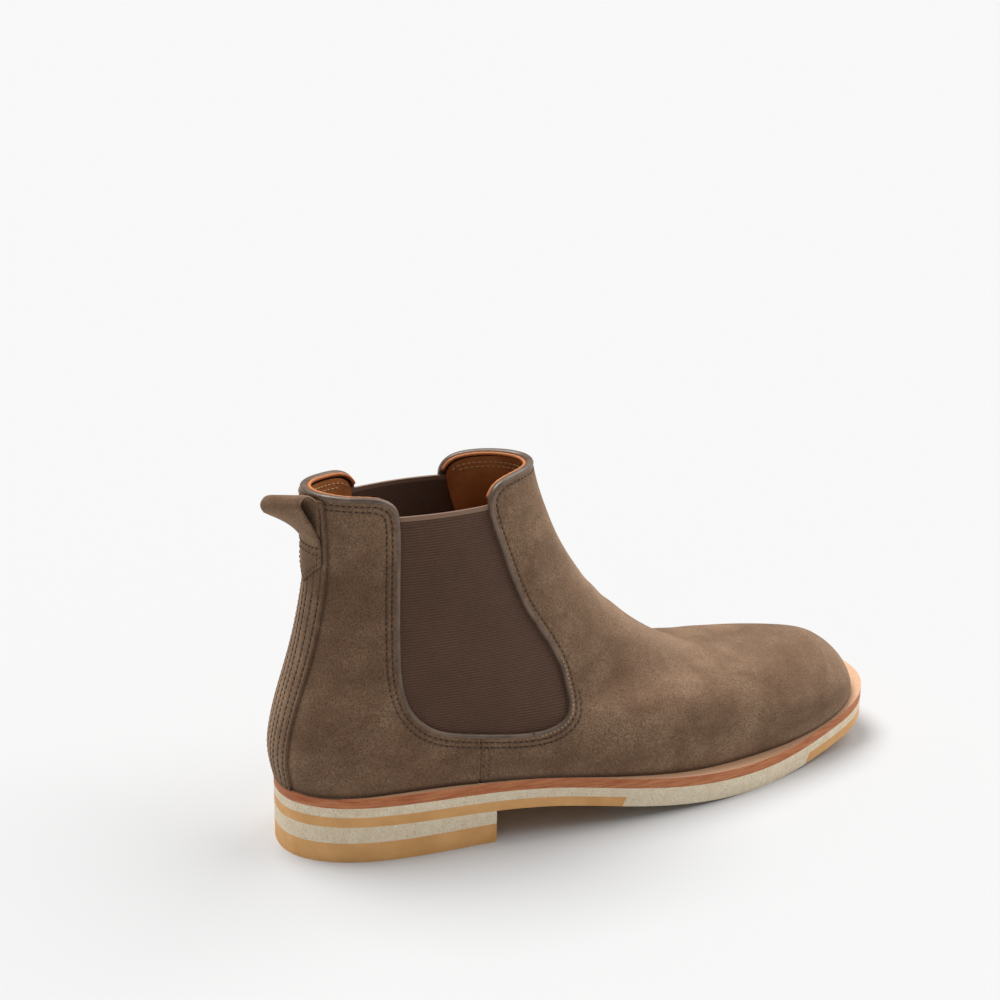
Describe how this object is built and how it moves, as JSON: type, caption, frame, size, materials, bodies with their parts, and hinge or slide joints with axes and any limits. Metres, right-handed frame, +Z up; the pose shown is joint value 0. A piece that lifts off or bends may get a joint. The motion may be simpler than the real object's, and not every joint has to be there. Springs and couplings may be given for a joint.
{
  "type": "chelsea boot",
  "caption": "Ankle-high chelsea boot with suede upper, elastic side gores, back pull loop, leather welt and layered crepe and rubber sole with a low block heel",
  "frame": {"origin": "bottom centre of the bounding box, on the ground plane under the heel and the tread", "axes": "+X from the heel to the toe, +Y to the medial side, +Z up; the boot is for the right foot"},
  "size_m": [0.303, 0.1034, 0.1577],
  "materials": {
    "taupe_suede": "napped suede, matte",
    "brown_binding": "smooth polished binding leather",
    "ribbed_elastic": "finely ribbed elastic webbing",
    "tan_lining": "smooth tan lining leather",
    "veg_tan_leather": "natural vegetable-tanned edge",
    "cream_crepe": "grainy crepe rubber, matte",
    "honey_rubber": "smooth honey rubber, satin",
    "cork": "pressed cork",
    "fibre_board": "pressed fibre board",
    "spring_steel": "plain rolled steel"
  },
  "bodies": {
    "boot": {"heel_top_piece": "honey_rubber", "heel_lift": "cream_crepe", "outsole_waist": "honey_rubber", "outsole_forepart": "cream_crepe", "outsole_toe": "honey_rubber", "crepe_midsole": "cream_crepe", "welt": "veg_tan_leather", "cork_filler": "cork", "shank": "spring_steel", "insole_board": "fibre_board", "sock_liner": "tan_lining", "vamp": "taupe_suede", "quarter_lateral": "taupe_suede", "quarter_medial": "taupe_suede", "vamp_lining": "tan_lining", "quarter_lining": "tan_lining", "gore_lateral": "ribbed_elastic", "gore_medial": "ribbed_elastic", "toe_puff": "fibre_board", "heel_counter": "fibre_board", "topline_binding_rear": "brown_binding", "topline_binding_front": "brown_binding", "backstay": "taupe_suede", "pull_loop_tab": "taupe_suede"},
    "pull_loop": {"pull_loop": "taupe_suede"}
  },
  "joints": [
    {"name": "pull_loop_swing", "type": "hinge", "parent": "boot", "child": "pull_loop", "pos_m": [-0.13596, -0.00047, 0.137], "axis": [0, 1, 0], "range_deg": [-50, 10], "stiffness_Nm_per_rad": 0.01}
  ]
}
